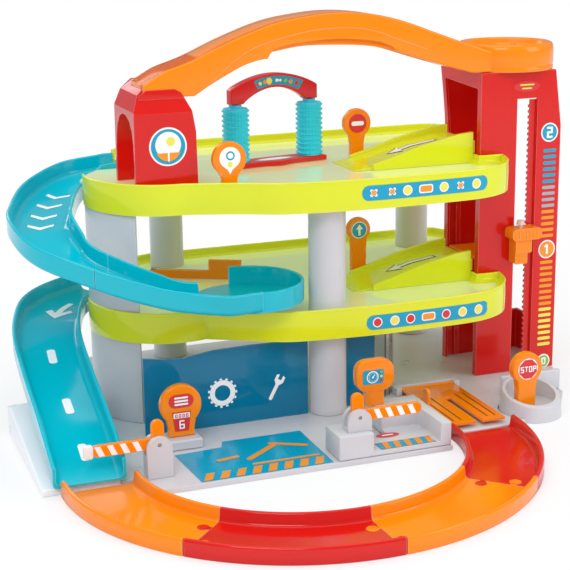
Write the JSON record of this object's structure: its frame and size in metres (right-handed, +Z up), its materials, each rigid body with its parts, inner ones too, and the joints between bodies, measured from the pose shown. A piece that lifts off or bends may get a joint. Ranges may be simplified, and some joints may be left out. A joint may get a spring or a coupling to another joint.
{
  "type": "toy parking garage",
  "caption": "Plastic toy parking garage with two decks, hand-worked lift tower, two slides, rolling wash, barriers, diverter gate and a half-ring floor track.",
  "frame": {"origin": "underside of the base, straight below the front post", "axes": "+X along the front towards the lift tower, +Y to the back, +Z up"},
  "size_m": [0.705, 0.7014, 0.4715],
  "materials": {
    "base_plate": "moulded, satin",
    "front_kerb_block": "moulded, satin",
    "pump_plinth": "moulded, satin",
    "slide_foot_wedge": "moulded, semi-gloss",
    "sign_podium": "moulded, satin",
    "podium_wall": "moulded, satin",
    "side_panel_lower": "moulded, satin",
    "side_panel_upper": "moulded, satin",
    "deck_1_floor": "moulded, glossy",
    "deck_1_rim": "moulded, glossy",
    "deck_2_floor": "moulded, glossy",
    "deck_2_rim": "moulded, glossy",
    "exit_ramp_1": "moulded, glossy",
    "exit_ramp_2": "moulded, glossy",
    "tower_shell": "moulded, glossy",
    "tower_rack": "moulded, glossy",
    "lift_guide_rail": "moulded, glossy",
    "arch_handle": "moulded, glossy",
    "lift_platform": "moulded, glossy",
    "lift_knob": "moulded, glossy",
    "lift_release_nub": "moulded, glossy",
    "slide_hood": "moulded, glossy",
    "wash_base": "moulded, glossy",
    "wash_arch": "moulded, glossy",
    "wash_roller_left": "moulded, glossy",
    "wash_roller_right": "moulded, glossy",
    "pin_sign": "moulded, glossy",
    "no_entry_sign": "moulded, glossy",
    "up_arrow_sign": "moulded, glossy",
    "fuel_pump": "moulded, glossy",
    "stop_sign": "moulded, glossy",
    "air_station": "moulded, glossy",
    "barrier_housing_left": "moulded, satin",
    "barrier_arm_left": "moulded, glossy",
    "barrier_pin_left": "plain",
    "barrier_housing_right": "moulded, satin",
    "barrier_arm_right": "moulded, glossy",
    "barrier_pin_right": "plain",
    "workshop_screen_left": "clear tinted moulding",
    "workshop_screen_right": "clear tinted moulding",
    "clear_screen": "clear smoke moulding",
    "upper_slide": "moulded, glossy",
    "slide_bowl": "moulded, glossy",
    "lower_slide": "moulded, glossy",
    "diverter_gate": "moulded, glossy",
    "gate_pin": "plain",
    "weigh_plate": "moulded, glossy",
    "weigh_plate_bearing": "moulded, satin",
    "weigh_plate_pin": "plain",
    "track_left": "moulded, glossy",
    "track_front": "moulded, glossy",
    "track_right": "moulded, glossy",
    "track_exit": "moulded, glossy",
    "front_post_lower": "moulded, satin",
    "front_post_upper": "moulded, satin",
    "back_left_post_lower": "moulded, satin",
    "back_left_post_upper": "moulded, satin",
    "back_right_post_lower": "moulded, satin",
    "back_right_post_upper": "moulded, satin"
  },
  "bodies": {
    "garage": {"base_plate": "base_plate", "front_kerb_block": "front_kerb_block", "pump_plinth": "pump_plinth", "slide_foot_wedge": "slide_foot_wedge", "sign_podium": "sign_podium", "podium_wall": "podium_wall", "side_panel_lower": "side_panel_lower", "side_panel_upper": "side_panel_upper", "deck_1_floor": "deck_1_floor", "deck_1_rim": "deck_1_rim", "deck_2_floor": "deck_2_floor", "deck_2_rim": "deck_2_rim", "exit_ramp_1": "exit_ramp_1", "exit_ramp_2": "exit_ramp_2", "tower_shell": "tower_shell", "tower_rack": "tower_rack", "lift_guide_rail": "lift_guide_rail", "arch_handle": "arch_handle", "slide_hood": "slide_hood", "wash_base": "wash_base", "wash_arch": "wash_arch", "pin_sign": "pin_sign", "no_entry_sign": "no_entry_sign", "up_arrow_sign": "up_arrow_sign", "fuel_pump": "fuel_pump", "stop_sign": "stop_sign", "air_station": "air_station", "barrier_housing_left": "barrier_housing_left", "barrier_pin_left": "barrier_pin_left", "barrier_housing_right": "barrier_housing_right", "barrier_pin_right": "barrier_pin_right", "workshop_screen_left": "workshop_screen_left", "workshop_screen_right": "workshop_screen_right", "clear_screen": "clear_screen", "upper_slide": "upper_slide", "slide_bowl": "slide_bowl", "lower_slide": "lower_slide", "gate_pin": "gate_pin", "weigh_plate_bearing": "weigh_plate_bearing", "weigh_plate_pin": "weigh_plate_pin", "track_left": "track_left", "track_front": "track_front", "track_right": "track_right", "track_exit": "track_exit", "front_post_lower": "front_post_lower", "front_post_upper": "front_post_upper", "back_left_post_lower": "back_left_post_lower", "back_left_post_upper": "back_left_post_upper", "back_right_post_lower": "back_right_post_lower", "back_right_post_upper": "back_right_post_upper"},
    "lift": {"lift_platform": "lift_platform", "lift_knob": "lift_knob"},
    "lift_release": {"lift_release_nub": "lift_release_nub"},
    "roller_left": {"wash_roller_left": "wash_roller_left"},
    "roller_right": {"wash_roller_right": "wash_roller_right"},
    "barrier_left": {"barrier_arm_left": "barrier_arm_left"},
    "barrier_right": {"barrier_arm_right": "barrier_arm_right"},
    "gate": {"diverter_gate": "diverter_gate"},
    "weigh_pan": {"weigh_plate": "weigh_plate"}
  },
  "joints": [
    {"name": "lift_travel", "type": "slide", "parent": "garage", "child": "lift", "axis": [0, 0, 1], "range_m": [-0.146, 0.15]},
    {"name": "lift_release_press", "type": "slide", "parent": "lift", "child": "lift_release", "axis": [0, 0, -1], "range_m": [0, 0.003], "stiffness_N_per_m": 250, "springref_m": -0.002},
    {"name": "roller_left_spin", "type": "hinge", "parent": "garage", "child": "roller_left", "pos_m": [-0.06, 0.148, 0.288], "axis": [0, 0, 1], "continuous": true},
    {"name": "roller_right_spin", "type": "hinge", "parent": "garage", "child": "roller_right", "pos_m": [0.043, 0.166, 0.288], "axis": [0, 0, 1], "continuous": true},
    {"name": "barrier_left_lift", "type": "hinge", "parent": "garage", "child": "barrier_left", "pos_m": [-0.243, -0.121, 0.0435], "axis": [0, 1, 0], "range_deg": [0, 85]},
    {"name": "barrier_right_lift", "type": "hinge", "parent": "garage", "child": "barrier_right", "pos_m": [-0.022, -0.141, 0.05], "axis": [0, -1, 0], "range_deg": [0, 85]},
    {"name": "gate_swing", "type": "hinge", "parent": "garage", "child": "gate", "pos_m": [-0.15, 0.224, 0.131], "axis": [0, 0, 1], "range_deg": [-20, 30]},
    {"name": "weigh_pan_press", "type": "hinge", "parent": "garage", "child": "weigh_pan", "pos_m": [0.139, 0.017, 0.0116], "axis": [1, 0, 0], "range_deg": [0, 1.8], "stiffness_Nm_per_rad": 0.8, "springref_deg": -5.73}
  ]
}
